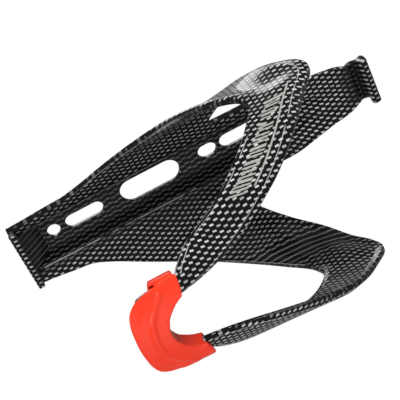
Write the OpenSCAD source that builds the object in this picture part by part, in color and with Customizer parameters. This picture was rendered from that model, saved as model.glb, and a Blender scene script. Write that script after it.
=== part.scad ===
// Water bottle cage: a moulded back plate, two wings that wrap round the bottle to a shoulder on
// each side, two arms that come down to a U at the front, and a soft grip pushed over that U.
// Frame: origin midway between the two bolts on the plate's rear face, +Z along the bottle towards
// its mouth, -Y towards the rider's side where the bottle goes in, +X to the right seen from there.

/* [Bottle and frame] */
// Diameter of the bottle that the cage holds
bottle_d = 74; // [70:0.5:78]
// Radial room between the bottle and the moulding, which the soft grip takes up
bottle_room = 0.8; // [0.3:0.1:2]
// Depth from the frame boss face to the bottle's back
channel_depth = 10.7; // [9:0.1:14]
// Distance between the two frame bosses
boss_pitch = 64; // [60:1:70]

/* [Back plate] */
// Distance from the lower bolt down to the foot's underside
foot_below_bolt = 14.6; // [13:0.2:22]
// Distance from the upper bolt up to the catch's top
catch_above_bolt = 66; // [58:0.2:80]
// Width of the channel's flat floor, where the bolt heads sit
floor_w = 12.4; // [11:0.2:15]
// Wall of the back plate
plate_wall = 2.4; // [1.6:0.1:3]
// Distance between the two creases where the channel meets its side flanges
crease_w = 18; // [16:0.5:22]
// Depth of the creases in front of the channel's floor
crease_depth = 5.3; // [4:0.1:7]

/* [Bolt holes and slots] */
// Diameter of the lower bolt hole and width of the upper bolt slot
bolt_d = 5.2; // [5.1:0.1:6.5]
// Length of the upper bolt slot
bolt_slot_l = 7.4; // [6:0.1:10]
// Length of the lower and upper lightening slots
end_slot_l = 15.5; // [10:0.1:17]
// Width of the lower and upper lightening slots
end_slot_w = 5.4; // [4:0.1:8]
// Length of the middle lightening slot
mid_slot_l = 24.2; // [15:0.1:30]
// Width of the middle lightening slot
mid_slot_w = 8.7; // [6:0.1:10]
// Height of the middle lightening slot's centre above the origin
mid_slot_z = 8; // [4:0.5:12]
// Land between the lower bolt hole and the lightening slot above it
low_land = 2.35; // [1.4:0.05:4]
// Land between the upper bolt slot and the lightening slot above it
high_land = 1.55; // [1.2:0.05:4]

/* [Wings and arms] */
// Wall of the wings and arms
wall = 2.4; // [1.8:0.1:3]
// Height of the shoulders' crest above the origin
shoulder_z = 71.6; // [66:0.2:80]
// How far the shoulders flare out past the arms
flare = 2.6; // [0:0.1:3]
// Depth of the groove along the outside of each wing
groove = 1.5; // [0:0.1:2]
// Width of the bevel along the inner edge of the arms
bevel_w = 3.6; // [2:0.1:5]
// Drop of that bevel towards the bottle
bevel_drop = 0.8; // [0.4:0.1:1.2]
// How much the wall thins on the bottle's side at that bevel's edge
edge_thin = 0.5; // [0:0.1:1]
// Gap left at each shoulder between the wing and the arm that springs
shoulder_gap = 0.3; // [0.2:0.05:0.6]
// Height of the turned rim along the lower edge
rim_h = 2.2; // [1:0.1:3]

/* [Foot and catch] */
// Thickness of the foot that the bottle stands on
foot_t = 2.5; // [1.6:0.1:4]
// How far the foot reaches in front of the frame bosses
foot_reach = 13.3; // [12:0.1:20]
// Height of the ramp between the channel's floor and the foot
ramp_h = 8; // [4:0.5:10]
// Height of the catch lip at the top
lip_h = 3.4; // [2:0.1:5]
// How far the catch lip reaches in front of the frame bosses
lip_reach = 12.6; // [11.5:0.1:16]
// Width of the catch lip, end to end
lip_w = 19.4; // [16:0.2:26]
// Width of the neck below the catch lip
neck_w = 16.6; // [12:0.2:18]
// Height of the recess under the catch lip
recess_h = 3.9; // [2.5:0.1:6]
// Distance from the foot's edge in from the flanges' edge
foot_inset = 1.65; // [0.5:0.05:3]
// Distance that the neck's sides are in from the flanges' edge where it starts
neck_inset = 0.45; // [0:0.05:2]

/* [Soft grip] */
// Thickness of the grip's front panel
grip_t = 1.7; // [1.2:0.1:3]
// Height of the raised rib along the grip
rib_h = 0.9; // [0:0.1:2]
// Thickness of the grip's inner lip
inner_lip_t = 1.3; // [0.8:0.1:2]
// Room between the grip and the moulding inside it
grip_room = 0.25; // [0.1:0.05:0.5]
// Half the angle that the grip spans round the bottle
grip_half_angle = 26.3; // [24:0.1:30]
// Height of the grip's front panel at the middle
grip_h = 11.4; // [9:0.1:16]

/* [Hidden] */

// Colours of the moulding and of the soft grip
shell_colour = "#1b1c1f";
grip_colour = "#f0452c";

// Bottle axis and the moulding's main radii about it
r_in = bottle_d / 2 + bottle_room;
axis_y = -(channel_depth + bottle_d / 2);
flange_angle = 158;
flange_r = r_in + 1.3;
// Wings meet the arms at the bottle's widest plane, on both sides
split_angle = 90;
bridge_angle = 28;

// Edge curves of the whole loop: [angle from the front, height], shared by wings, arms and bridge
top_edge = [[0, -10.6], [8.5, -9], [13.8, -5], [15.8, 2], [18, 9], [22, 17.5], [28, 26.7],
            [36, 36.6], [46, 46.6], [60, 57], [74, 65], [88, shoulder_z], [95, shoulder_z - 1.8],
            [104, 64.5], [116, 58], [130, 48], [142, 40.5], [150, 36.8], [flange_angle, 34.8]];
low_edge = [[0, -15.8], [18, -15.4], [22.5, -14], [23.8, -10], [24.7, 0.5], [27.5, 2.2], [30, 4],
            [36, 8.8], [44, 20], [54, 30.2], [72, 42.6], [86, 47.6], [93, 46.2], [106, 37],
            [125, 18.3], [145, -7.4], [153, -17.3], [flange_angle, -23]];
// Flare of the outer ridge, as a share of the full flare
flare_curve = [[0, 0], [30, 0.1], [45, 0.4], [60, 0.7], [78, 0.9], [92, 1], [104, 0.88],
               [115, 0.68], [125, 0.45], [140, 0.15], [flange_angle, 0]];
// Groove on the outside, as a share of its full depth
groove_curve = [[0, 0], [84, 0], [94, 1], [120, 1], [142, 0], [flange_angle, 0]];
// Grip outline: its notch, its lower edge and its inner lip
grip_notch = [[0, -8.8], [7.5, -7.2], [11, -5], [13.8, -2.5], [15.5, 0]];
grip_foot = [[0, -8.8 - grip_h], [10, -8.3 - grip_h], [17, -7 - grip_h], [21.5, -15.5],
             [24, -11], [26, -3], [30, 1]];
grip_inner = [[0, -13.5], [12, -11.5], [18, -9.5], [30, -8.8]];
rib_low = [[0, -16.9], [9, -15.4], [16.5, -12], [21, -8], [30, -7]];
rib_high = [[0, -13.4], [9, -12.4], [15, -10], [20, -7], [30, -6.5]];

function clamp(x, a, b) = min(max(x, a), b);
function chord(p, i) = (p[i + 1].y - p[i].y) / (p[i + 1].x - p[i].x);
// Slope at a control point: flat at the first point and at peaks, never steep enough to overshoot
function slope(p, i) =
    i == 0 ? 0 :
    i == len(p) - 1 ? chord(p, i - 1) :
    chord(p, i - 1) * chord(p, i) <= 0 ? 0 :
    2 * chord(p, i - 1) * chord(p, i) / (chord(p, i - 1) + chord(p, i));
function span_of(p, x) = max([for (i = [0:len(p) - 2]) x >= p[i].x ? i : 0]);
// Height of a smooth curve through control points p at x
function curve(p, x) =
    let (i = span_of(p, x), w = p[i + 1].x - p[i].x, t = clamp((x - p[i].x) / w, 0, 1))
    (2 * t ^ 3 - 3 * t ^ 2 + 1) * p[i].y + (t ^ 3 - 2 * t ^ 2 + t) * w * slope(p, i)
    + (3 * t ^ 2 - 2 * t ^ 3) * p[i + 1].y + (t ^ 3 - t ^ 2) * w * slope(p, i + 1);

// Point at angle a from the front, radius r from the bottle axis and height z
function around(a, r, z) = [r * sin(a), axis_y - r * cos(a), z];

// Closed solid through rings of points, all rings having the same number of points
module loft(rings) {
    n = len(rings[0]);
    m = len(rings);
    sides = [for (i = [0:m - 2], j = [0:n - 1], h = [0, 1])
        let (a = i * n + j, b = i * n + (j + 1) % n)
        h == 0 ? [a, b, b + n] : [a, b + n, a + n]];
    first = [for (j = [1:n - 2]) [0, j + 1, j]];
    last = [for (j = [1:n - 2]) [(m - 1) * n, (m - 1) * n + j, (m - 1) * n + j + 1]];
    polyhedron([for (r = rings, p = r) p], concat(sides, first, last));
}

// Section of the loop at angle a, as [radius, height] pairs, counter-clockwise
function loop_inner_r(a) = r_in + (flange_r - r_in) * clamp((a - 146) / 12, 0, 1) ^ 2;
function loop_section(a) =
    let (
        lo = curve(low_edge, abs(a)), hi = curve(top_edge, abs(a)), h = hi - lo,
        base = loop_inner_r(abs(a)), body = base + wall,
        ridge = body + flare * curve(flare_curve, abs(a)),
        dip = groove * curve(groove_curve, abs(a)),
        on_arm = clamp((92 - abs(a)) / 14, 0, 1),
        bevel = min(bevel_w, h / 4), rim = min(rim_h, h / 6), chamfer = wall / 4,
        steps = [0.25, 0.5, 0.75],
        outer = concat(
            [[body - chamfer, lo], [body, lo + chamfer], [body + dip / 3, lo + rim]],
            [for (t = steps) [body + (ridge - body) * t - dip * sin(180 * t),
                              lo + rim + (h - rim - bevel) * t]],
            [[ridge, hi - bevel], [ridge - bevel_drop * on_arm, hi]]),
        last = len(outer) - 1,
        inner = [for (i = [last:-1:0])
            [max(base, outer[i].x - wall) + (i == last ? edge_thin * on_arm : 0), outer[i].y]])
    concat(outer, inner);

// Part of the loop from angle a0 to angle a1 in about the given step
module loop(a0, a1, step) {
    n = ceil((a1 - a0) / step);
    loft([for (i = [0:n])
        let (a = a0 + (a1 - a0) * i / n)
        [for (p = loop_section(a)) around(a, p.x, p.y)]]);
}

// Front outline of the plate's right half: floor edge, crease and flange edge
flange_front = [flange_r * sin(flange_angle), axis_y - flange_r * cos(flange_angle)];
flange_back = [(flange_r + wall) * sin(flange_angle), axis_y - (flange_r + wall) * cos(flange_angle)];
crease_front = [crease_w / 2, -plate_wall - crease_depth];
crease_back = [crease_w / 2 + 0.8 * plate_wall, -crease_depth - 0.3 * plate_wall];
floor_front = [floor_w / 2, -plate_wall];
floor_back = [floor_w / 2 + 0.6 * plate_wall, 0];

function mirrored(p) = concat(p, [for (i = [len(p) - 1:-1:0]) [-p[i].x, p[i].y]]);
function reversed(p) = [for (i = [len(p) - 1:-1:0]) p[i]];

// Plan of the plate: a channel with a flat floor, steep sides and side flanges
module plate_plan() {
    polygon(concat(mirrored([flange_front, crease_front, floor_front]),
                   reversed(mirrored([flange_back, crease_back, floor_back]))));
}

// Levels along the plate: bolts, slots, the neck's start, the catch's foot and the lip's underside
bolt_z = boss_pitch / 2;
foot_drop = bolt_z + foot_below_bolt;
low_slot_z = -bolt_z + bolt_d / 2 + low_land + end_slot_l / 2;
high_slot_z = bolt_z + bolt_slot_l / 2 + high_land + end_slot_l / 2;
neck_z = high_slot_z + end_slot_l / 2 + 5.15;
catch_top = bolt_z + catch_above_bolt;
lip_z = catch_top - lip_h;
catch_z = lip_z - recess_h;

// Half width of the plate below the wings, where the flanges narrow to the foot
foot_half_w = flange_front.x - foot_inset;
waist_z = curve(low_edge, flange_angle);
armpit_z = curve(top_edge, flange_angle) + 2;
neck_half_w = flange_front.x - neck_inset;
module plate_face() {
    beyond = flange_back.x + 1;
    polygon(mirrored([[neck_half_w, neck_z], [flange_front.x, armpit_z], [beyond, armpit_z],
                      [beyond, waist_z], [flange_back.x, waist_z], [foot_half_w, -foot_drop]]));
}

// Slot of length l and width w through the plate's floor, centred at height z
module slot(l, w, z) {
    r = w / 2;
    half = max(l / 2 - r, 0.01);
    rotate([90, 0, 0])
        translate([0, z, -1])
            linear_extrude(plate_wall + 2) {
                translate([0, half]) circle(r, $fn = 64);
                translate([0, -half]) circle(r, $fn = 64);
                square([w, 2 * half], center = true);
            }
}

module back_plate() color(shell_colour)
    difference() {
        intersection() {
            translate([0, 0, -foot_drop]) linear_extrude(foot_drop + neck_z) plate_plan();
            rotate([90, 0, 0]) translate([0, 0, -5]) linear_extrude(25) plate_face();
        }
        translate([0, 1, -bolt_z])
            rotate([90, 0, 0]) cylinder(h = plate_wall + 2, d = bolt_d, $fn = 64);
        slot(bolt_slot_l, bolt_d, bolt_z);
        slot(end_slot_l, end_slot_w, low_slot_z);
        slot(mid_slot_l, mid_slot_w, mid_slot_z);
        slot(end_slot_l, end_slot_w, high_slot_z);
    }

// Foot: a shelf that closes the channel's lower end, with a ramp up to it along the floor
flange_slope = (crease_front.y - flange_front.y) / (flange_front.x - crease_front.x);
foot_side = [foot_half_w, crease_front.y - flange_slope * (foot_half_w - crease_front.x)];
module foot_stop() color(shell_colour) {
    translate([0, 0, -foot_drop])
        linear_extrude(foot_t)
            polygon(mirrored([[foot_half_w, -foot_reach], foot_side, crease_front, floor_front]));
    intersection() {
        translate([0, 0, foot_t - foot_drop])
            linear_extrude(ramp_h) polygon(mirrored([crease_front, floor_front]));
        translate([-floor_w, 0, 0])
            rotate([90, 0, 90])
                linear_extrude(2 * floor_w)
                    polygon([[-plate_wall, foot_t - foot_drop],
                             [-plate_wall - crease_depth, foot_t - foot_drop],
                             [-plate_wall, foot_t - foot_drop + ramp_h]]);
    }
}

// Neck: the channel's floor rises to a point while the sides draw in towards the catch
neck_face_y = crease_front.y - 1.3;
// Share of the height up the neck at which its valley closes
valley_end = 0.6;
// Half width of the neck up its height, as a share of the way from the flanges to the catch
neck_taper = [[0, 0], [0.45, 0.3], [0.65, 0.42], [0.85, 0.61], [0.95, 0.83], [1, 1]];
function lerp(a, b, t) = a + (b - a) * t;
function neck_section(t) =
    let (
        v = 1 - clamp(t / valley_end, 0, 1) ^ 1.2,
        edge_x = lerp(neck_half_w, neck_w / 2, curve(neck_taper, t)),
        floor = [lerp(0.6, floor_front.x, v), lerp(neck_face_y + 0.2, floor_front.y, v)],
        crease = [lerp(3, crease_front.x, v), lerp(neck_face_y, crease_front.y, v)],
        edge = [edge_x, crease.y - lerp(0.1, flange_slope, v) * (edge_x - crease.x)],
        front = mirrored([edge, crease, floor]),
        back = mirrored([edge + [0.8 * v, plate_wall],
                         crease + [1.6 * v, plate_wall - 0.6 * v],
                         floor + [1.2 * v, plate_wall]]))
    concat(front, reversed(back));
module neck() color(shell_colour)
    loft([for (i = [0:24])
        let (t = i / 24, z = lerp(neck_z, catch_z, t))
        [for (p = reversed(neck_section(t))) [p.x, p.y, z]]]);

// Catch: a shallow recess under a lip that hooks over the bottle's shoulder
module catch_profile() {
    y = neck_face_y - 0.6;
    polygon([[y, catch_z], [y + 1.5, catch_z + 1], [y + 1.6, catch_z + 2],
             [y + 0.9, lip_z - 0.5], [y - 0.8, lip_z - 0.1], [-lip_reach + 0.6, lip_z],
             [-lip_reach, lip_z + 0.7], [-lip_reach, catch_top - 0.8],
             [-lip_reach + 0.8, catch_top], [y, catch_top - 0.2], [y + 2.6, lip_z + 1.4],
             [y + 3.6, catch_z + 2], [y + 3.3, catch_z + 0.8], [y + plate_wall, catch_z]]);
}
module catch_slab(w) {
    translate([-w / 2, 0, 0]) rotate([90, 0, 90]) linear_extrude(w) catch_profile();
}
module top_catch() color(shell_colour) {
    catch_slab(neck_w);
    intersection() {
        catch_slab(lip_w);
        translate([-lip_w, -lip_reach - 1, lip_z - 0.1]) cube([2 * lip_w, lip_reach, lip_h + 1]);
    }
}

// Wings and arms: the loop on each side, cut at the shoulder
gap_angle = shoulder_gap / 2 / r_in * 180 / PI;
module wing_right() color(shell_colour) loop(split_angle + gap_angle, flange_angle, 2.6);
module wing_left() color(shell_colour) mirror([1, 0, 0]) loop(split_angle + gap_angle, flange_angle, 2.6);
module arm_right() color(shell_colour) loop(bridge_angle, split_angle - gap_angle, 2.4);
module arm_left() color(shell_colour) mirror([1, 0, 0]) loop(bridge_angle, split_angle - gap_angle, 2.4);
module front_bridge() color(shell_colour) loop(-bridge_angle, bridge_angle, 1.6);

// Soft grip: a front panel and an inner lip, joined over the notch and round both sides, with the
// moulding's U in the pocket between them
panel_in = r_in + wall + grip_room;
panel_out = panel_in + grip_t;
lip_out = r_in - grip_room;
lip_in = lip_out - inner_lip_t;
side_angle = grip_half_angle + 1.5;
side_low = -8.8;
side_high = 0.2;
// Sector of a tube about the bottle axis, facing the front
module front_shell(r0, r1) {
    translate([0, axis_y, -40])
        rotate([0, 0, -140]) rotate_extrude(angle = 100, $fn = 180)
            translate([r0, 0]) square([r1 - r0, 60]);
}
// Prism along Y over a mirrored outline given as [angle, height] pairs at radius r
module front_prism(r, outline) {
    rotate([90, 0, 0])
        linear_extrude(150) polygon(mirrored([for (p = outline) [r * sin(p.x), p.y]]));
}
function sampled(p, a0, a1, n) =
    [for (i = [0:n]) let (a = lerp(a0, a1, i / n)) [a, curve(p, a)]];
grip_outline = concat(sampled(grip_notch, 1, 15.5, 8), [[grip_half_angle - 1, 1.3]],
                      [[grip_half_angle, 0.8]], sampled(grip_foot, 25.6, 1, 12));
lip_outline = concat(sampled(grip_notch, 1, 15.4, 8), [[side_angle, side_high]],
                     [[side_angle, side_low]], sampled(grip_inner, 18, 1, 5));
// Pocket for the U, open below and at the top of each arm
pocket_side = grip_half_angle - 0.7;
pocket_outline = concat(
    [for (p = sampled(top_edge, 1, 13.8, 7)) [p.x - 0.6, p.y + grip_room]],
    [[14, 0], [14, 12], [pocket_side + 1, 12], [pocket_side + 1, side_high],
     [pocket_side, side_high - 0.5], [pocket_side, -39]]);
rib_outline = concat(sampled(rib_high, 1, 20, 8), sampled(rib_low, 20.6, 1, 8));
module grip() color(grip_colour)
    difference() {
        union() {
            intersection() {
                front_shell(lip_out - 0.1, panel_out);
                front_prism(panel_out, grip_outline);
            }
            intersection() {
                front_shell(lip_in, panel_out - 0.5);
                front_prism(lip_out, lip_outline);
            }
            intersection() {
                front_shell(panel_in, panel_out + rib_h);
                front_prism(panel_out, rib_outline);
            }
        }
        intersection() {
            front_shell(lip_out, panel_in);
            front_prism(r_in + wall / 2, pocket_outline);
        }
        intersection() {
            front_shell(lip_out - 1, panel_in);
            front_prism(r_in, [[1, side_low - 6], [side_angle + 4, side_low - 0.1], [side_angle + 4, -39],
                               [1, -39]]);
        }
    }

back_plate();
foot_stop();
neck();
top_catch();
wing_left();
wing_right();
arm_left();
arm_right();
front_bridge();
grip();
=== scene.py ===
"""Looks of the water bottle cage: one moulding with a woven-fibre film, and a soft grip over its U.

Lengths are in millimetres in the row frame until a mesh is made. The moulding is laid out as one flat
sheet (s along its plan from the plate's middle round to the front, z up) and wrapped into place.
"""
import math

import bmesh
import bpy
import numpy as np
from mathutils import Matrix, Vector
from mathutils.geometry import delaunay_2d_cdt

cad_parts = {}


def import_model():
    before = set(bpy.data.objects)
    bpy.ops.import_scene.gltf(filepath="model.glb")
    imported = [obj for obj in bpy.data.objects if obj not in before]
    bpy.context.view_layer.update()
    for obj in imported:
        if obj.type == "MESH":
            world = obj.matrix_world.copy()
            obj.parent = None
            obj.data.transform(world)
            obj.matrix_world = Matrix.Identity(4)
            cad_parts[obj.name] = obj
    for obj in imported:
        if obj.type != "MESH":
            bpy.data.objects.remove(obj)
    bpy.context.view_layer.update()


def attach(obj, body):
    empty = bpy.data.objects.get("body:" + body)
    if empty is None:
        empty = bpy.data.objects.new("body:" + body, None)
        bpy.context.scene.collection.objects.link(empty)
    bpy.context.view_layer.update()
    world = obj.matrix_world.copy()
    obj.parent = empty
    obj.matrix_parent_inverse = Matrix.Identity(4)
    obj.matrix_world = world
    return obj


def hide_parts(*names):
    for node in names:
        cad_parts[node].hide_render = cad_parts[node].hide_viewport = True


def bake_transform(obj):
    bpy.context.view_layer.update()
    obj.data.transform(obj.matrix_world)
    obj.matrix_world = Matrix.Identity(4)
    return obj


MM = 0.001

# Main sizes, the same as the CAD's
AXIS_Y = -47.7
R_IN = 37.8
WALL = 2.4
PLATE_WALL = 2.4
FLANGE_ANGLE = 158.0
FLANGE_R = 39.1
FLARE = 2.6
GROOVE = 1.5
BEVEL_W = 3.6
BEVEL_DROP = 0.8
EDGE_THIN = 0.5
RIM_H = 2.2
FOOT_Z = -46.6
FOOT_T = 2.5
FOOT_REACH = 13.3
FOOT_HALF_W = 13.0
NECK_HALF_W = 14.2
RAMP_H = 8.0
NECK_Z = 58.0
CATCH_Z = 90.7
LIP_Z = 94.6
TOP_Z = 98.0
LIP_REACH = 12.6
LIP_W = 19.4
NECK_W = 16.6
FLOOR_X = 6.2
CREASE = (9.0, -7.7)
FLANGE_EDGE = (14.65, -11.45)
NECK_FACE_Y = -9.0
BOLT_Z = 32.0
BOLT_D = 5.2
BOLT_SLOT_L = 7.4
SIDE_SLOT = (15.5, 5.4)
MIDDLE_SLOT = (24.2, 8.7)
GRIP_ROOM = 0.25
GRIP_PANEL_T = 1.7
GRIP_LIP_T = 1.3

# Where the channel's plan has closed up at the neck's upper end
NECK_MIDDLE_X = 0.6
NECK_CREASE_X = 3.0
NECK_SLOPE = 0.1

# Degrees of the loop over which it eases into the flange and its trims fade, and where the arm's bevel starts
SIDE_EASE = 12.0
FADE_SPAN = 14.0
ARM_START = 92.0

# Length of the grip's flat outlines per degree, and the reach of a painted highlight line on the film
GRIP_DEG = math.radians(1) * 40
LINE_W = 0.45

# The film on the moulding: pitch of its dashes, how far it wanders, and its stretch on the left flange
ROW_H = 2.0
COLUMN_W = 2.1
DRIFT = 3.0
SLACK = 0.4
SLACK_RUN = 30.0

# Points nearer than this are one point, in metres
WELD = 1e-6

TOP_EDGE = [[0, -10.6], [8.5, -9], [13.8, -5], [15.8, 2], [18, 9], [22, 17.5], [28, 26.7], [36, 36.6],
            [46, 46.6], [60, 57], [74, 65], [88, 71.6], [95, 69.8], [104, 64.5], [116, 58],
            [130, 48], [142, 40.5], [150, 36.8], [158, 34.8]]
LOW_EDGE = [[0, -15.8], [18, -15.4], [22.5, -14], [23.8, -10], [24.7, 0.5], [27.5, 2.2], [30, 4],
            [36, 8.8], [44, 20], [54, 30.2], [72, 42.6], [86, 47.6], [93, 46.2], [106, 37],
            [125, 18.3], [145, -7.4], [153, -17.3], [158, -25]]
FLARE_CURVE = [[0, 0], [30, 0.1], [45, 0.4], [60, 0.7], [78, 0.9], [92, 1], [104, 0.88], [115, 0.68],
               [125, 0.45], [140, 0.15], [158, 0]]
GROOVE_CURVE = [[0, 0], [84, 0], [94, 1], [120, 1], [142, 0], [158, 0]]
NECK_TAPER = [[0, 0], [0.45, 0.3], [0.65, 0.42], [0.85, 0.61], [0.95, 0.83], [1, 1]]
GRIP_NOTCH = [[0, -8.8], [7.5, -7.2], [11, -5], [13.8, -2.5], [15.5, 0]]
GRIP_FOOT = [[0, -20.2], [10, -19.7], [17, -18.4], [21.5, -15.5], [24, -11], [26, -3], [30, 1]]
GRIP_INNER = [[0, -13.5], [12, -11.5], [18, -9.5], [30, -8.8]]
GRIP_RIB = [[0, -14.6], [9, -13.4], [15, -10.6], [20, -7.2], [23, -6], [30, -5.6]]

# Sheet coordinate s at the floor's edge, the crease and the flange's edge, and per degree of the loop
S_FLOOR = FLOOR_X
S_CREASE = S_FLOOR + math.hypot(CREASE[0] - FLOOR_X, CREASE[1] + PLATE_WALL)
S_FLANGE = S_CREASE + math.hypot(FLANGE_EDGE[0] - CREASE[0], FLANGE_EDGE[1] - CREASE[1])
S_PER_DEG = math.radians(1) * 38.9
S_FRONT = S_FLANGE + FLANGE_ANGLE * S_PER_DEG


def curve(points, x):
    """Smooth height at x through control points: flat at the first one and at peaks, with no overshoot."""
    p = np.array(points, float)
    x = np.asarray(x, float)
    chord = np.diff(p[:, 1]) / np.diff(p[:, 0])
    a, b = chord[:-1], chord[1:]
    same = a * b > 0
    slope = np.zeros(len(p))
    slope[-1] = chord[-1]
    slope[1:-1] = np.where(same, 2 * a * b / np.where(same, a + b, 1), 0)
    i = np.clip(np.searchsorted(p[:, 0], x, side="right") - 1, 0, len(p) - 2)
    w = p[i + 1, 0] - p[i, 0]
    t = np.clip((x - p[i, 0]) / w, 0, 1)
    return ((2 * t**3 - 3 * t**2 + 1) * p[i, 1] + (t**3 - 2 * t**2 + t) * w * slope[i]
            + (3 * t**2 - 2 * t**3) * p[i + 1, 1] + (t**3 - t**2) * w * slope[i + 1])


def mix(a, b, t):
    return a + (b - a) * t


def rise(x, start, span):
    """0 up to start, then up to 1 over span."""
    return np.clip((x - start) / span, 0, 1)


def fall(x, end, span):
    """1 until span before end, then down to 0 at end."""
    return np.clip((end - x) / span, 0, 1)


def bell(x, middle, width):
    """1 at middle, falling off smoothly over about width on each side."""
    return np.exp(-(((x - middle) / width) ** 2))


def trims(height):
    """Widths of the bevel at the loop's upper edge and of the rim at its lower one, where it is height tall."""
    return np.minimum(BEVEL_W, height / 4), np.minimum(RIM_H, height / 6)


def spine_plan(z, depth):
    """Half plan of the spine at heights z: its middle, floor edge, crease and flange edge, as x and y arrays.
    depth is 0 on the bottle's side and 1 on the rear, whose corners lie a little further out."""
    t = rise(z, NECK_Z, CATCH_Z - NECK_Z)
    v = 1 - np.clip(t / 0.6, 0, 1) ** 1.2
    floor_x, floor_y = mix(NECK_MIDDLE_X, FLOOR_X, v), mix(NECK_FACE_Y + 0.2, -PLATE_WALL, v)
    crease_x, crease_y = mix(NECK_CREASE_X, CREASE[0], v), mix(NECK_FACE_Y, CREASE[1], v)
    slope = mix(NECK_SLOPE, (CREASE[1] - FLANGE_EDGE[1]) / (FLANGE_EDGE[0] - CREASE[0]), v)
    edge_x = mix(FLANGE_EDGE[0], NECK_W / 2, curve(NECK_TAPER, t))
    edge_y = crease_y - slope * (edge_x - crease_x)
    xs = [0 * v, floor_x + depth * 1.2 * v, crease_x + depth * 1.6 * v, edge_x + depth * 0.9 * v]
    ys = [floor_y + depth * PLATE_WALL, floor_y + depth * PLATE_WALL,
          crease_y + depth * (PLATE_WALL - 0.6 * v), edge_y + depth * (PLATE_WALL + 0.23 * v)]
    return np.array(xs), np.array(ys)


def spine_point(s, z, depth):
    """x and y on the spine, with the floor edge and the crease rounded over."""
    xs, ys = spine_plan(z, depth)
    knots = np.array([0, S_FLOOR, S_CREASE, S_FLANGE])

    def at(q):
        i = np.clip(np.searchsorted(knots, q, side="right") - 1, 0, 2)
        t = (q - knots[i]) / (knots[i + 1] - knots[i])
        n = np.arange(len(q))
        return mix(xs[i, n], xs[i + 1, n], t), mix(ys[i, n], ys[i + 1, n], t)

    h = np.minimum(np.minimum(0.8, s), S_FLANGE - s)
    (x0, y0), (x1, y1), (x2, y2) = at(s - h), at(s), at(s + h)
    return (x0 + 2 * x1 + x2) / 4, (y0 + 2 * y1 + y2) / 4


def loop_radius(a, z, depth):
    """Distance from the bottle axis on the loop at angle a from the front and height z."""
    lo, hi = curve(LOW_EDGE, a), curve(TOP_EDGE, a)
    h = hi - lo
    base = R_IN + (FLANGE_R - R_IN) * rise(a, FLANGE_ANGLE - SIDE_EASE, SIDE_EASE) ** 2
    body = base + WALL
    fade = fall(a, FLANGE_ANGLE, FADE_SPAN)
    bevel, rim = trims(h)
    ridge = body + FLARE * curve(FLARE_CURVE, a)
    dip = GROOVE * curve(GROOVE_CURVE, a)
    up = z - lo
    t = np.clip((up - rim) / np.maximum(h - rim - bevel, 0.1), 0, 1)
    outer = body + dip / 3 * (1 - t) + (ridge - body) * t - dip * np.sin(np.pi * t)
    outer = outer - 0.35 * fade * np.clip(1 - up / rim, 0, 1)
    on_arm = fall(a, ARM_START, FADE_SPAN)
    edge = on_arm * np.clip(1 - (hi - z) / bevel, 0, 1)
    outer = outer - BEVEL_DROP * edge
    return np.where(depth > 0.5, outer, np.maximum(base, outer - WALL) + EDGE_THIN * edge**2)


def wrap(s, z, depth):
    """Point of the sheet in the row frame, in mm. depth is 0 on the bottle's side and 1 on the outside."""
    s, z = np.asarray(s, float), np.asarray(z, float)
    depth = np.broadcast_to(np.asarray(depth, float), s.shape)
    u = np.abs(s)
    x, y = spine_point(np.minimum(u, S_FLANGE), z, depth)
    a = np.clip(FLANGE_ANGLE - (u - S_FLANGE) / S_PER_DEG, 0, FLANGE_ANGLE)
    r = loop_radius(a, z, depth)
    on_loop = u > S_FLANGE
    x = np.where(on_loop, r * np.sin(np.radians(a)), x)
    y = np.where(on_loop, AXIS_Y - r * np.cos(np.radians(a)), y)
    return np.stack([np.where(s < 0, -x, x), y, z], 1)


def resample(line, step, closed=False):
    """The polyline with points about step apart, its own ends kept."""
    line = np.array(line, float)
    if closed:
        line = np.vstack([line, line[:1]])
    d = np.concatenate([[0], np.cumsum(np.hypot(*np.diff(line, axis=0).T))])
    n = max(2, int(round(d[-1] / step)) + 1)
    at = np.linspace(0, d[-1], n)
    out = np.stack([np.interp(at, d, line[:, 0]), np.interp(at, d, line[:, 1])], 1)
    return out[:-1] if closed else out


def inside(points, loops):
    """Even-odd test of points against closed loops."""
    hit = np.zeros(len(points), bool)
    for loop in loops:
        q = np.roll(loop, -1, 0)
        for (x0, y0), (x1, y1) in zip(loop, q):
            if y0 == y1:
                continue
            crosses = (points[:, 1] > min(y0, y1)) & (points[:, 1] <= max(y0, y1))
            hit ^= crosses & (points[:, 0] < x0 + (points[:, 1] - y0) * (x1 - x0) / (y1 - y0))
    return hit


def outward(loop, hole=False):
    """Unit normals of a closed loop in its own plane, pointing away from the material."""
    ahead, behind = np.roll(loop, -1, 0) - loop, loop - np.roll(loop, 1, 0)
    ahead /= np.linalg.norm(ahead, axis=1)[:, None]
    behind /= np.linalg.norm(behind, axis=1)[:, None]
    d = ahead + behind
    n = np.stack([d[:, 1], -d[:, 0]], 1)
    n /= np.maximum(np.linalg.norm(n, axis=1)[:, None], 1e-9)
    area = np.sum(loop[:, 0] * np.roll(loop[:, 1], -1) - loop[:, 1] * np.roll(loop[:, 0], -1))
    return n * (1 if area > 0 else -1) * (-1 if hole else 1)


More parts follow.
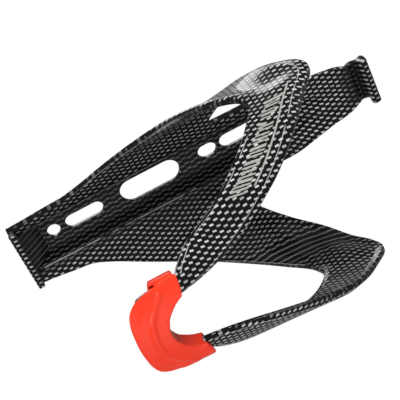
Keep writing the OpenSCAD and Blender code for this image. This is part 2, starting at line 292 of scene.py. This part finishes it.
def film_place(flat):
    """The sheet's points as the film lies on it: across the spine, s becomes the true length along its plan.
    On the left flange the film went on stretched."""
    s, z = flat[:, 0], flat[:, 1]
    xs, ys = spine_plan(z, 0.0)
    runs = np.vstack([0 * z, np.cumsum(np.hypot(np.diff(xs, axis=0), np.diff(ys, axis=0)), axis=0)])
    knots = np.array([0, S_FLOOR, S_CREASE, S_FLANGE])
    u = np.minimum(np.abs(s), S_FLANGE)
    i = np.clip(np.searchsorted(knots, u, side="right") - 1, 0, 2)
    n = np.arange(len(s))
    run = mix(runs[i, n], runs[i + 1, n], (u - knots[i]) / (knots[i + 1] - knots[i]))
    run = run + np.maximum(np.abs(s) - S_FLANGE, 0)
    run = run - np.where(s < 0, SLACK * np.clip(run - S_CREASE, 0, SLACK_RUN), 0)
    return np.stack([np.where(s < 0, -run, run), z], 1)


def sheet_mesh(name, outline, holes, lines, place, edge_r=0.45, grid=1.1, free=None, film=None):
    """Closed mesh of a sheet: outline and holes are loops in the plane, lines are creases kept as edges,
    and place(s, z, depth) wraps it. Its edges are rounded by edge_r, but where free says so of the outline's
    points the end stays square. UVs are the plane's mm, or film of it."""
    loops = [np.array(outline)] + [np.array(h) for h in holes]
    inner = [l - outward(l, i > 0) * edge_r for i, l in enumerate(loops)]
    if free is not None:
        for l, m in zip(loops, inner):
            keep = free(l)
            m[keep] = l[keep] - (outward(l)[keep] * edge_r) * np.array([0, 1.0])
    pts, edges = [], []
    for l in inner:
        k = len(pts)
        pts += list(l)
        edges += [(k + i, k + (i + 1) % len(l)) for i in range(len(l))]
    for line in lines:
        line = resample(line, grid)
        line = line[inside(line, inner)]
        k = len(pts)
        pts += list(line)
        edges += [(k + i, k + i + 1) for i in range(len(line) - 1)
                  if np.linalg.norm(line[i + 1] - line[i]) < 2 * grid]
    fixed = np.array(pts)
    lo, hi = loops[0].min(0), loops[0].max(0)
    gs, gz = np.meshgrid(np.arange(lo[0] + 0.3, hi[0], grid), np.arange(lo[1] + 0.3, hi[1], grid * 1.15))
    gs = gs + (np.arange(gs.shape[0]) % 2)[:, None] * grid / 2
    cloud = np.stack([gs.ravel(), gz.ravel()], 1)
    cloud = cloud[inside(cloud, inner)]
    far = np.ones(len(cloud), bool)
    for block in np.array_split(np.arange(len(fixed)), 40):
        d = np.abs(cloud[:, None, :] - fixed[None, block, :]).max(2).min(1) if len(block) else 9
        far &= d > 0.5 * grid
    pts = np.vstack([fixed, cloud[far]])
    out = delaunay_2d_cdt([Vector(p) for p in pts], edges, [], 0, 1e-5)
    flat = np.array([[v.x, v.y] for v in out[0]])
    tri = np.array([list(f) for f in out[2]])
    tri = tri[inside(flat[tri].mean(1), inner)]
    origin = {o: i for i, group in enumerate(out[3]) for o in group}

    verts = [place(flat[:, 0], flat[:, 1], 0.0), place(flat[:, 0], flat[:, 1], 1.0)]
    uvs = [flat, flat]
    faces = [tuple(f) for f in tri] + [tuple(len(flat) + f[::-1]) for f in tri]
    base, k = 2 * len(flat), 0
    for l, m in zip(loops, inner):
        n = len(l)
        rim0 = [origin[k + i] for i in range(n)]
        rim1 = [len(flat) + i for i in rim0]
        k += n
        a, c = place(m[:, 0], m[:, 1], 0.0), place(l[:, 0], l[:, 1], 0.0)
        e, d = place(m[:, 0], m[:, 1], 1.0), place(l[:, 0], l[:, 1], 1.0)
        across = d - c
        thick = np.linalg.norm(across, axis=1)[:, None]
        r = np.minimum(edge_r, thick / 3)
        c1, d1 = c + across / thick * r, d - across / thick * r
        rings = [0.49 * a + 0.42 * c + 0.09 * c1, 0.16 * a + 0.48 * c + 0.36 * c1, c1,
                 (c1 + d1) / 2, d1,
                 0.16 * e + 0.48 * d + 0.36 * d1, 0.49 * e + 0.42 * d + 0.09 * d1]
        step = np.array([0.3, 0.7, 1.0, 1.0 + WALL / 2, 1.0, 0.7, 0.3])
        ids = [rim0]
        for ring, q in zip(rings, step):
            verts.append(ring)
            uvs.append(m + (l - m) * q)
            ids.append(list(range(base, base + n)))
            base += n
        ids.append(rim1)
        for i in range(len(ids) - 1):
            for j in range(n):
                faces.append((ids[i][j], ids[i][(j + 1) % n], ids[i + 1][(j + 1) % n], ids[i + 1][j]))
    uvs = np.vstack(uvs)
    return build(name, np.vstack(verts), faces, film(uvs) if film else uvs)


def build(name, verts, faces, uvs):
    """Mesh object from points in mm, with UVs per point, outward normals and smooth faces."""
    mesh = bpy.data.meshes.new(name)
    points = [tuple(v) for v in np.asarray(verts, float) * MM]
    mesh.from_pydata(points, [], [tuple(int(i) for i in f) for f in faces])
    layer = mesh.uv_layers.new(name="film")
    index = np.zeros(len(mesh.loops), int)
    mesh.loops.foreach_get("vertex_index", index)
    layer.data.foreach_set("uv", np.asarray(uvs, float)[index].astype(np.float32).ravel())
    bm = bmesh.new()
    bm.from_mesh(mesh)
    bmesh.ops.remove_doubles(bm, verts=bm.verts, dist=WELD)
    bmesh.ops.recalc_face_normals(bm, faces=bm.faces)
    for f in bm.faces:
        f.smooth = True
    bm.to_mesh(mesh)
    bm.free()
    obj = bpy.data.objects.new(name, mesh)
    bpy.context.scene.collection.objects.link(obj)
    return obj


def slot_loop(length, width, z):
    """Closed outline of a slot centred on the plate at height z."""
    r, half = width / 2, max(length / 2 - width / 2, 0.0)
    t = np.radians(np.linspace(0, 180, 14))
    top = np.stack([r * np.cos(t), z + half + r * np.sin(t)], 1)
    bottom = np.stack([-r * np.cos(t), z - half - r * np.sin(t)], 1)
    return resample(np.vstack([top, bottom]), 0.6, closed=True)


def fillet(before, corner, after):
    """Points of a rounded corner between two points."""
    t = np.linspace(0, 1, 9)[:, None]
    before, corner, after = np.array(before), np.array(corner), np.array(after)
    return (1 - t) ** 2 * before + 2 * t * (1 - t) * corner + t**2 * after


def s_of_angle(a):
    """Sheet coordinate of the loop's angle a from the front, in degrees."""
    return S_FLANGE + (FLANGE_ANGLE - np.asarray(a, float)) * S_PER_DEG


def s_of_x(x):
    """Sheet coordinate of a place x on the flange."""
    return S_CREASE + (x - CREASE[0]) / (FLANGE_EDGE[0] - CREASE[0]) * (S_FLANGE - S_CREASE)


def edge_line(points, a0, a1, n):
    a = np.linspace(a0, a1, n)
    return np.stack([s_of_angle(a), curve(points, a)], 1)


def moulding_outline():
    """Closed outline of the whole sheet, its two ends meeting at the front."""
    side = [[FOOT_Z, s_of_x(FOOT_HALF_W)], [-42, s_of_x(13.2)], [-36.5, s_of_x(13.7)], [-31, s_of_x(14.3)],
            [-26, S_FLANGE]]
    neck_s = s_of_x(NECK_HALF_W)
    turn_s = mix(S_FLANGE, neck_s, 0.5)
    z = np.linspace(FOOT_Z, -29, 24)
    foot_side = np.stack([curve(side, z), z], 1)
    low = edge_line(LOW_EDGE, 156.5, 0, 260)
    top = edge_line(TOP_EDGE, 0, 154, 260)
    half = [[[0, FOOT_Z]], foot_side, fillet(foot_side[-1], [S_FLANGE, -25.5], low[0])[1:-1], low, top,
            fillet(top[-1], [S_FLANGE, 34.4], [turn_s, 40])[1:-1],
            fillet([turn_s, 40], [neck_s, 44], [neck_s, 52])[:-1],
            [[neck_s, CATCH_Z + 0.6]], [[0, CATCH_Z + 0.6]]]
    half = np.vstack([np.array(h, float) for h in half])
    right = resample(half, 0.75)
    left = right[::-1][1:-1] * np.array([-1, 1])
    return np.vstack([right, left])


def at_front(points):
    """Which points of the outline lie where the sheet's two ends meet."""
    return np.abs(np.abs(points[:, 0]) - S_FRONT) < 0.02


def make_moulding():
    """The one sheet with its slots, and with lines kept as edges along the bevel, the rim, the floor's edge and
    the crease."""
    a = np.linspace(4, 150, 200)
    low, top = curve(LOW_EDGE, a), curve(TOP_EDGE, a)
    bevel_w, rim_w = trims(top - low)
    bevel = np.stack([s_of_angle(a), top - bevel_w], 1)
    rim = np.stack([s_of_angle(a), low + rim_w], 1)
    lines = []
    for sign in (1, -1):
        flip = np.array([sign, 1])
        lines += [bevel * flip, rim * flip]
        lines += [(line + np.array([0, d])) * flip for line in (bevel, rim) for d in (-LINE_W, LINE_W)]
        for s in (S_FLOOR - 0.8, S_FLOOR, S_FLOOR + 0.8, S_CREASE - 0.8, S_CREASE - 0.25, S_CREASE,
                  S_CREASE + 0.25, S_CREASE + 0.8):
            lines.append(np.array([[s, FOOT_Z + 1], [s, CATCH_Z]]) * flip)
    holes = [slot_loop(BOLT_D, BOLT_D, -BOLT_Z), slot_loop(BOLT_SLOT_L, BOLT_D, BOLT_Z),
             slot_loop(*SIDE_SLOT, -19.3), slot_loop(*SIDE_SLOT, 45), slot_loop(*MIDDLE_SLOT, 8)]
    return sheet_mesh("moulding", moulding_outline(), holes, lines, wrap, free=at_front, film=film_place)


def make_bars():
    """Plain silver bars and a line along the left arm, where a maker's mark would be. Each bar is given by its
    width, the gap after it, and the shares of the arm's height at which it starts and ends."""
    start, lean, skew = 80.0, 1.6, 0.02
    lift, film_t = 0.02, 0.05

    def at(a, t):
        return [-s_of_angle(a), mix(curve(LOW_EDGE, a), curve(TOP_EDGE, a) - 3.4, t)]

    def place(s, z, depth):
        inner, outer = wrap(s, z, 0.0), wrap(s, z, 1.0)
        out = outer - inner
        out /= np.maximum(np.linalg.norm(out, axis=1)[:, None], 1e-6)
        return outer + out * (lift + film_t * np.broadcast_to(depth, s.shape))[:, None]

    bars = []
    a = start
    for width, gap, low, high in ((1.6, 0.5, 0.36, 0.74), (0.7, 0.5, 0.36, 0.7), (0.9, 0.9, 0.38, 0.7),
                                  (0.7, 0.6, 0.34, 0.66), (1.3, 0.6, 0.36, 0.68), (0.6, 1.1, 0.36, 0.62),
                                  (1.4, 0.6, 0.34, 0.5), (0.8, 0.6, 0.34, 0.68), (0.7, 1.0, 0.34, 0.68),
                                  (0.7, 0.6, 0.34, 0.64), (1.0, 0.5, 0.32, 0.64), (0.7, 1.0, 0.34, 0.66),
                                  (1.3, 0.6, 0.32, 0.66), (0.7, 0.5, 0.34, 0.66), (0.7, 1.1, 0.32, 0.64),
                                  (1.2, 0.6, 0.32, 0.66), (0.8, 0.5, 0.32, 0.66), (1.0, 0.8, 0.3, 0.64),
                                  (0.7, 0.5, 0.32, 0.66), (1.2, 0.6, 0.32, 0.64), (0.7, 0.5, 0.3, 0.66),
                                  (0.9, 0.5, 0.32, 0.66), (0.7, 0.6, 0.3, 0.62)):
        b = a - width * 0.78
        bars.append([at(a, low), at(b, low - skew), at(b - lean, high), at(a - lean, high + skew)])
        a = b - gap * 1.3
    along = np.linspace(83, 44, 24)
    bars.append([at(x, 0.80) for x in along] + [at(x, 0.755) for x in along[::-1]])
    merged = bmesh.new()
    for bar in bars:
        obj = sheet_mesh("bar", resample(bar, 0.5, closed=True), [], [], place, edge_r=0.03, grid=0.9)
        merged.from_mesh(obj.data)
        bpy.data.objects.remove(obj)
    mesh = bpy.data.meshes.new("silver_bars")
    merged.to_mesh(mesh)
    merged.free()
    obj = bpy.data.objects.new("silver_bars", mesh)
    bpy.context.scene.collection.objects.link(obj)
    return obj


def profile_solid(name, profile, width, bevel):
    """Closed solid of a (y, z) profile drawn across X over width, with its edges rounded."""
    p = np.array(profile, float)
    n, m = len(p), 9
    verts, uvs = [], []
    for t in np.linspace(-1, 1, m):
        x = np.full(n, width / 2 * t)
        verts.append(np.stack([x, p[:, 0], p[:, 1]], 1))
        uvs.append(np.stack([x, p[:, 1] + p[:, 0] * 0.6], 1))
    faces = [(i * n + j, i * n + (j + 1) % n, (i + 1) * n + (j + 1) % n, (i + 1) * n + j)
             for i in range(m - 1) for j in range(n)]
    faces += [tuple(range(n)), tuple(range((m - 1) * n, m * n))]
    obj = build(name, np.vstack(verts), faces, np.vstack(uvs))
    add_bevel(obj, bevel)
    return obj


def add_bevel(obj, width):
    mod = obj.modifiers.new("rounded_edges", "BEVEL")
    mod.width = width * MM
    mod.segments = 3
    mod.limit_method = "ANGLE"
    mod.angle_limit = math.radians(24)
    mod.harden_normals = False


def make_foot():
    """Shelf across the channel's lower end, with the ramp that rises from it to the floor."""
    top = FOOT_Z + FOOT_T
    plan = [(FOOT_HALF_W, -FOOT_REACH), (FOOT_HALF_W + 0.3, -12.2), (FOOT_HALF_W, -10.7), CREASE,
            (FLOOR_X, -2.0)]
    ring = plan + [(-x, y) for x, y in plan[::-1]]
    n = len(ring)
    verts = [(x, y, FOOT_Z) for x, y in ring] + [(x, y, top) for x, y in ring]
    uvs = [(x, y * 0.7 - 1.5) for x, y in ring] + [(x, y * 0.7 + 1.2) for x, y in ring]
    faces = [(j, (j + 1) % n, n + (j + 1) % n, n + j) for j in range(n)]
    faces += [tuple(range(n)), tuple(range(n, 2 * n))]
    shelf = build("foot", verts, faces, uvs)
    section = [(8.9, -7.7, top - 0.6), (8.9, -7.7, top + 0.2), (FLOOR_X, -1.9, top + RAMP_H),
               (FLOOR_X, -1.9, top - 0.6)]
    cuts = np.linspace(1, -1, 9)
    m, last = len(section), len(cuts) - 1
    verts = [(x * t, y, z) for t in cuts for x, y, z in section]
    uvs = [(x * t, z * 0.35) for t in cuts for x, y, z in section]
    faces = [(i * m + j, i * m + (j + 1) % m, (i + 1) * m + (j + 1) % m, (i + 1) * m + j)
             for i in range(last) for j in range(m)]
    faces += [tuple(range(m)), tuple(range(last * m, (last + 1) * m))]
    ramp = build("foot_ramp", verts, faces, uvs)
    add_bevel(shelf, 0.6)
    add_bevel(ramp, 0.3)
    return shelf, ramp


def make_catch():
    """The recess over the neck's upper end, and the lip in front of it."""
    y = NECK_FACE_Y - 0.6
    recess = [(y + 0.6, CATCH_Z - 0.4), (y, CATCH_Z), (y + 1.2, CATCH_Z + 0.8), (y + 1.6, CATCH_Z + 2),
              (y + 0.9, LIP_Z - 0.4), (y - 0.6, LIP_Z + 0.3), (y, TOP_Z - 0.3), (y + 2.6, LIP_Z + 1.4),
              (y + 3.6, CATCH_Z + 2), (y + 3.4, CATCH_Z + 0.6), (y + 2.6, CATCH_Z - 0.4)]
    lip = [(y + 1.2, LIP_Z + 0.2), (y - 1.6, LIP_Z - 0.1), (-LIP_REACH, LIP_Z + 0.5), (-LIP_REACH, TOP_Z - 0.9),
           (-LIP_REACH + 0.7, TOP_Z), (y + 0.4, TOP_Z - 0.15), (y + 1.8, TOP_Z - 0.9)]
    return (profile_solid("catch_recess", recess, NECK_W, 0.3),
            profile_solid("catch_lip", lip, LIP_W, 0.45))


def shell_solid(name, outline, r0, r1):
    """Closed solid over an (angle, z) outline between the radii r0 and r1, of which r1 may be a function of
    angle and z."""
    outline = np.array(outline, float)
    plane = resample(outline * np.array([GRIP_DEG, 1]), 0.7, closed=True)

    def place(s, z, depth):
        a = s / GRIP_DEG
        high = r1(a, z) if callable(r1) else r1
        r = mix(r0, high, depth)
        return np.stack([r * np.sin(np.radians(a)), AXIS_Y - r * np.cos(np.radians(a)), z], 1)

    return sheet_mesh(name, plane, [], [], place, edge_r=0.35, grid=0.7)


def mirrored(half):
    """Closed outline of half an outline and its mirror image."""
    half = np.array(half, float)
    return np.vstack([half, half[::-1] * np.array([-1, 1])])


def sampled(points, a0, a1, n, shift=0.0):
    """n points of a height curve between two angles, raised by shift."""
    a = np.linspace(a0, a1, n)
    return np.stack([a, curve(points, a) + shift], 1)


def make_grip():
    """Soft grip: a front panel with a raised band round the notch, an inner lip, and the walls joining them."""
    inner_face = R_IN + WALL + GRIP_ROOM
    outer_face = inner_face + GRIP_PANEL_T
    lip_out = R_IN - GRIP_ROOM
    lip_in = lip_out - GRIP_LIP_T

    def front(a, z):
        a = np.abs(a)
        rib = curve(GRIP_RIB, a)
        above = rise(z, rib - 0.9, 1.8)
        step = above * above * (3 - 2 * above)
        ridge = bell(z, rib + 0.2, 1.1)
        belly = fall(z, rib, 6)
        fade = fall(a, 25.5, 3)
        return outer_face - 0.35 + fade * (0.45 * step + 0.75 * ridge) + 0.35 * np.sin(np.pi * belly)

    panel = mirrored(np.vstack([sampled(GRIP_NOTCH, 0.2, 15.5, 20), [[20, 0.9], [25.3, 1.3], [26.3, 0.6]],
                                sampled(GRIP_FOOT, 25.7, 0.2, 30)]))
    lip = mirrored(np.vstack([sampled(GRIP_NOTCH, 0.2, 15.5, 20), [[27.6, 0.2], [27.6, -8.0]],
                              sampled(GRIP_INNER, 24, 0.2, 16)]))
    over = mirrored(np.vstack([sampled(GRIP_NOTCH, 0.2, 15.4, 20), [[15.4, -1.4], [14.4, -2.6]],
                               sampled(TOP_EDGE, 13.6, 0.2, 20, 0.25)]))
    parts = [shell_solid("grip_panel", panel, inner_face, front),
             shell_solid("grip_lip", lip, lip_in, lip_out),
             shell_solid("grip_over", over, lip_in + 0.2, outer_face - 0.3)]
    for sign in (1, -1):
        wall = np.array([[25.8, 0.4], [27.5, 0.1], [27.5, -8.0], [25.8, -8.2]]) * np.array([sign, 1])
        parts.append(shell_solid("grip_side", wall, lip_in + 0.2, outer_face - 0.9))
    grip = parts[0]
    bm = bmesh.new()
    for p in parts:
        bm.from_mesh(p.data)
    bm.to_mesh(grip.data)
    bm.free()
    for p in parts[1:]:
        bpy.data.objects.remove(p)
    grip.name = "soft_grip"
    mod = grip.modifiers.new("one_skin", "REMESH")
    mod.mode = "VOXEL"
    mod.voxel_size = 0.28 * MM
    mod.use_smooth_shade = True
    smooth = grip.modifiers.new("soft", "SMOOTH")
    smooth.iterations = 6
    smooth.factor = 0.5
    return grip


# ---------------------------------------------------------------- materials


# What the film's material reads at each point of a mesh
FILM_LAYERS = ("film_tone", "film_stretch", "film_painted_glint")


class Nodes:
    """Short way to wire a material's nodes."""

    def __init__(self, name):
        self.material = bpy.data.materials.new(name)
        self.material.use_nodes = True
        self.tree = self.material.node_tree
        self.shader = self.tree.nodes["Principled BSDF"]

    def add(self, kind, **values):
        node = self.tree.nodes.new(kind)
        for key, value in values.items():
            setattr(node, key, value)
        return node

    def link(self, a, b):
        self.tree.links.new(a, b)

    def feed(self, node, *values):
        """Gives the node's first inputs their values, each a number or an output, and returns its output."""
        for socket, value in zip(node.inputs, values):
            if isinstance(value, (int, float)):
                socket.default_value = value
            else:
                self.link(value, socket)
        return node.outputs[0]

    def math(self, operation, *values, clamp=False):
        return self.feed(self.add("ShaderNodeMath", operation=operation, use_clamp=clamp), *values)

    def smooth(self, value, low, high):
        return self.feed(self.add("ShaderNodeMapRange", interpolation_type="SMOOTHSTEP"), value, low, high)

    def attribute(self, name):
        return self.add("ShaderNodeAttribute", attribute_name=name).outputs["Fac"]

    def noise_2d(self, uv, scale):
        node = self.add("ShaderNodeTexNoise", noise_dimensions="2D")
        self.link(uv, node.inputs["Vector"])
        node.inputs["Scale"].default_value = scale
        return node

    def colour_mix(self, amount, low, high):
        node = self.add("ShaderNodeMix", data_type="RGBA")
        node.inputs[6].default_value = low
        node.inputs[7].default_value = high
        self.link(amount, node.inputs[0])
        self.link(node.outputs[2], self.shader.inputs["Base Color"])

    def gloss(self, **values):
        """Sets the shader's own inputs, with spaces for the underscores in their names."""
        for key, value in values.items():
            self.shader.inputs[key.replace("_", " ")].default_value = value


def film_material():
    """Near-black moulding under a printed film: staggered light dashes along Z, under a clear coat.
    film_tone says how strongly they show and also carries painted shade under the lip and in the catch's
    recess, film_stretch how far they are drawn into lines, and the third layer where a painted highlight lies
    along an edge."""
    bright, base = 0.55, 0.003
    n = Nodes("fibre_film")
    uv = n.add("ShaderNodeUVMap", uv_map="film").outputs[0]
    # edge is the layer of painted highlights along the edges
    tone, stretch, edge = (n.attribute(name) for name in FILM_LAYERS)
    split = n.add("ShaderNodeSeparateXYZ")
    n.link(uv, split.inputs[0])
    s, z = split.outputs[0], split.outputs[1]
    noise = n.noise_2d(uv, 0.04)
    noise.inputs["Detail"].default_value = 1.0
    drift = n.math("MULTIPLY", n.math("SUBTRACT", noise.outputs["Fac"], 0.5), DRIFT)
    s = n.math("ADD", s, drift)
    z = n.math("MULTIPLY_ADD", drift, 0.6, z)
    row = n.math("DIVIDE", z, ROW_H)
    row_id = n.math("FLOOR", row)
    loose = n.math("SUBTRACT", 1.0, stretch, clamp=True)
    odd = n.math("MULTIPLY", n.math("PINGPONG", row_id, 1.0), n.math("MULTIPLY", loose, 0.5))
    column = n.math("ADD", n.math("DIVIDE", s, COLUMN_W), odd)
    col_id = n.math("FLOOR", column)
    across = n.math("ABSOLUTE", n.math("SUBTRACT", n.math("FRACT", column), 0.5))
    along = n.math("ABSOLUTE", n.math("SUBTRACT", n.math("FRACT", row), 0.5))
    length = n.math("MAXIMUM", n.smooth(along, 0.40, 0.27), stretch)
    dash = n.math("MULTIPLY", n.smooth(across, 0.20, 0.08), length)
    cell = n.add("ShaderNodeCombineXYZ")
    n.link(col_id, cell.inputs[0])
    n.link(n.math("MULTIPLY", row_id, n.math("SUBTRACT", 1.0, n.math("CEIL", stretch))), cell.inputs[1])
    white = n.add("ShaderNodeTexWhiteNoise", noise_dimensions="2D")
    n.link(cell.outputs[0], white.inputs["Vector"])
    vary = n.math("MULTIPLY_ADD", white.outputs[0], 0.5, 0.6)
    mask = n.math("MULTIPLY", n.math("MULTIPLY", dash, vary), tone, clamp=True)
    # Painted highlight: a light line along the edges, broken up by noise, stands in for glints
    glint_noise = n.noise_2d(uv, 0.15)
    painted_glint = n.math("MULTIPLY", n.smooth(edge, 0.3, 0.8), n.smooth(glint_noise.outputs["Fac"], 0.32, 0.52))
    mask = n.math("MAXIMUM", mask, n.math("MULTIPLY", painted_glint, 0.7))
    n.colour_mix(mask, (base, base, base * 1.2, 1), (bright, bright * 1.01, bright, 1))
    n.gloss(Roughness=0.25, Specular_IOR_Level=0.25, Coat_Weight=0.4, Coat_Roughness=0.05)
    return n.material


def silver_material():
    """Dull silver print."""
    n = Nodes("silver_print")
    n.gloss(Base_Color=(0.40, 0.39, 0.36, 1), Metallic=0.2, Roughness=0.4)
    return n.material


def grip_material():
    """Red-orange elastomer, with its colour and gloss uneven on a fine scale."""
    n = Nodes("elastomer")
    noise = n.add("ShaderNodeTexNoise")
    coords = n.add("ShaderNodeTexCoord")
    n.link(coords.outputs["Object"], noise.inputs["Vector"])
    noise.inputs["Scale"].default_value = 260
    n.colour_mix(noise.outputs["Fac"], (0.88, 0.035, 0.01, 1), (0.94, 0.045, 0.014, 1))
    rough = n.smooth(noise.outputs["Fac"], 0.2, 0.8)
    n.link(n.math("MULTIPLY_ADD", rough, 0.06, 0.26), n.shader.inputs["Roughness"])
    n.gloss(Specular_IOR_Level=0.5, Coat_Weight=0.3, Coat_Roughness=0.12)
    return n.material


def paint_film(obj, tone):
    """Stores the FILM_LAYERS at each point, from a function of place in mm and of the normal."""
    count = len(obj.data.vertices)
    co, no = np.zeros(count * 3), np.zeros(count * 3)
    obj.data.vertices.foreach_get("co", co)
    obj.data.vertices.foreach_get("normal", no)
    values = tone(co.reshape(-1, 3) / MM, no.reshape(-1, 3))
    for name, value in zip(FILM_LAYERS, values):
        layer = obj.data.attributes.new(name, "FLOAT", "POINT")
        layer.data.foreach_set("value", np.asarray(value, np.float32))


def even_film(tone, stretch):
    """The same film all over a piece, with no painted highlight on its edges."""
    return lambda p, n: (np.full(len(p), tone), np.full(len(p), stretch), np.zeros(len(p)))


def painted_glint_lines(p, a, facing_in):
    """Painted highlight: 1 on the bevel, rim and crease lines where a glint is painted light on the film, down
    to 0 at LINE_W from them.
    """
    x, y, z = np.abs(p[:, 0]), p[:, 1], p[:, 2]
    lo, hi = curve(LOW_EDGE, a), curve(TOP_EDGE, a)
    bevel, rim = trims(hi - lo)
    on_arm = (a < 97) & (facing_in < 0.3)
    low_lines = np.minimum(np.abs(z - lo - rim), np.abs(z - lo) * 0.8) + np.clip(a - 72, 0, 9)
    lines = np.minimum(np.abs(z - hi + bevel), low_lines)
    crease = np.hypot(x - CREASE[0] - 0.07, y - CREASE[1] - 0.07) / LINE_W
    crease += (z < -42) + (z > 22)
    edge = np.maximum(np.where(on_arm, 1 - lines / LINE_W, 0), 1 - crease)
    # Painted highlight along the lower rim on the bottle's side of the wings
    inner_rim = (a > 98) & (a < 150) & (facing_in > 0.2)
    edge = np.maximum(edge, np.where(inner_rim, 0.7 - np.abs(z - lo) / LINE_W / 3, 0))
    return np.clip(edge, 0, 1)


def moulding_film(p, n):
    """The film is drawn out and thin on the bottle's side of the shoulders and in the channel, and faint on the
    walls of the sheet's edges. Below the lip it is darkened as painted shade, and painted highlights run along
    its edges."""
    x, y, z = np.abs(p[:, 0]), p[:, 1], p[:, 2]
    a = np.degrees(np.arctan2(x, AXIS_Y - y))
    radial = np.stack([p[:, 0], y - AXIS_Y], 1)
    radial /= np.maximum(np.linalg.norm(radial, axis=1)[:, None], 1e-6)
    outward_part = (radial * n[:, :2]).sum(1)
    facing_in = np.clip(-outward_part * 1.4, 0, 1)
    channel = fall(x, 12, 3) * (y > -12) * fall(z, 66, 10)
    neck = rise(z, 52, 10) * (x < 17)
    # Painted shade: the neck's front is darkened below the lip
    shade_under_lip = rise(z, 85, 3) * (x < 8)
    thinned = facing_in * (0.3 + 0.5 * bell(a, 108, 16)) * (1 - channel) * (1 - neck)
    tone = 1 - thinned - facing_in * channel * 0.8
    tone = tone * (1 - 0.8 * shade_under_lip)
    stretch = np.clip(facing_in * (1.1 * bell(a, 110, 11) + 0.5 * channel), 0, 1)
    rim_wall = np.clip(1.8 - np.abs(outward_part) * 2.2, 0, 1) * (x > 12)
    return tone * (1 - 0.8 * rim_wall), stretch, painted_glint_lines(p, a, facing_in)


def build_scene():
    """Every piece with its material slot and the nodes it replaces, all but the moulding on a body, and the
    studio round them.
    """
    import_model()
    film = film_material()

    moulding = make_moulding()
    paint_film(moulding, moulding_film)
    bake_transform(moulding)
    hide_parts("back_plate", "neck", "wing_left", "wing_right", "arm_left", "arm_right",
                "front_bridge")
    moulding.data.materials.append(film)

    foot, ramp = make_foot()
    recess, lip = make_catch()
    # The catch's recess gets a low film tone as painted shade below the lip
    for obj, node, tone, stretch in ((foot, "foot_stop", 0.8, 0.0), (ramp, None, 0.12, 1.0),
                                     (recess, "top_catch", 0.1, 0.0), (lip, None, 0.8, 0.0)):
        paint_film(obj, even_film(tone, stretch))
        obj.data.materials.append(film)
        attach(obj, "cage_back")
        if node:
            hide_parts(node)

    bars = make_bars()
    bars.data.materials.append(silver_material())
    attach(bars, "front_loop")

    grip = make_grip()
    grip.data.materials.append(grip_material())
    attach(grip, "front_loop")
    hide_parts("grip")
    add_studio()


def area_light(name, place, target, size, watts, soft):
    """Square lamp at place. A soft one leaves no mirror image on gloss."""
    data = bpy.data.lights.new(name, "AREA")
    data.energy = watts
    data.size = size
    light = bpy.data.objects.new(name, data)
    light.visible_glossy = not soft
    light.location = place
    light.rotation_mode = "QUATERNION"
    light.rotation_quaternion = (Vector(place) - Vector(target)).to_track_quat("Z", "Y")
    bpy.context.scene.collection.objects.link(light)


def camera_axes(azimuth, elevation, roll):
    """Rotation of a camera that looks at the object from azimuth and elevation, rolled about its own axis."""
    a, e, r = (math.radians(v) for v in (azimuth, elevation, roll))
    back = Vector((math.sin(a) * math.cos(e), -math.cos(a) * math.cos(e), math.sin(e)))
    right = Vector((math.cos(a), math.sin(a), 0))
    up = back.cross(right)
    x = right * math.cos(r) - up * math.sin(r)
    return back, Matrix((x, back.cross(x), back)).transposed()


def add_studio():
    """Camera, white world and lamps. A lamp's place is given from the object's middle along the picture's x and
    y and back towards the camera."""
    scene = bpy.context.scene
    scene.view_settings.view_transform = "Standard"
    cam = bpy.data.objects.new("camera", bpy.data.cameras.new("camera"))
    back, axes = camera_axes(-34.54, -1.42, -62.31)
    cam.location = Vector((-0.011, -0.0448, 0.02)) + back * 0.4928
    cam.rotation_mode = "QUATERNION"
    cam.rotation_quaternion = axes.to_quaternion()
    cam.data.lens = 129.6
    cam.data.sensor_width = 36
    cam.data.clip_start = 0.01
    scene.collection.objects.link(cam)
    scene.camera = cam

    world = bpy.data.worlds.new("studio")
    scene.world = world
    world.use_nodes = True
    tree = world.node_tree
    tree.nodes.clear()
    out = tree.nodes.new("ShaderNodeOutputWorld")
    path = tree.nodes.new("ShaderNodeLightPath")
    seen, lit = tree.nodes.new("ShaderNodeBackground"), tree.nodes.new("ShaderNodeBackground")
    seen.inputs[0].default_value = (1, 1, 1, 1)
    lit.inputs[0].default_value = (1, 1, 1, 1)
    lit.inputs[1].default_value = 0.22
    blend = tree.nodes.new("ShaderNodeMixShader")
    tree.links.new(path.outputs["Is Camera Ray"], blend.inputs[0])
    tree.links.new(lit.outputs[0], blend.inputs[1])
    tree.links.new(seen.outputs[0], blend.inputs[2])
    tree.links.new(blend.outputs[0], out.inputs[0])

    x_axis, y_axis = axes.col[0], axes.col[1]
    centre = Vector((0, -0.045, 0.02))
    for name, x, y, z, size, watts, soft in (("rim", -0.38, 0.64, -0.64, 0.4, 1.5, False),
                                             ("left", -0.65, -0.5, 0.55, 0.3, 1.6, False),
                                             ("top", 0.45, 0.9, 0.35, 0.5, 1.6, False),
                                             ("key", -0.4, 0.8, 0.7, 0.7, 15, True),
                                             ("fill", 0.4, -0.9, 0.6, 0.9, 10, True)):
        area_light(name, centre + x_axis * x + y_axis * y + back * z, centre, size, watts, soft)


build_scene()
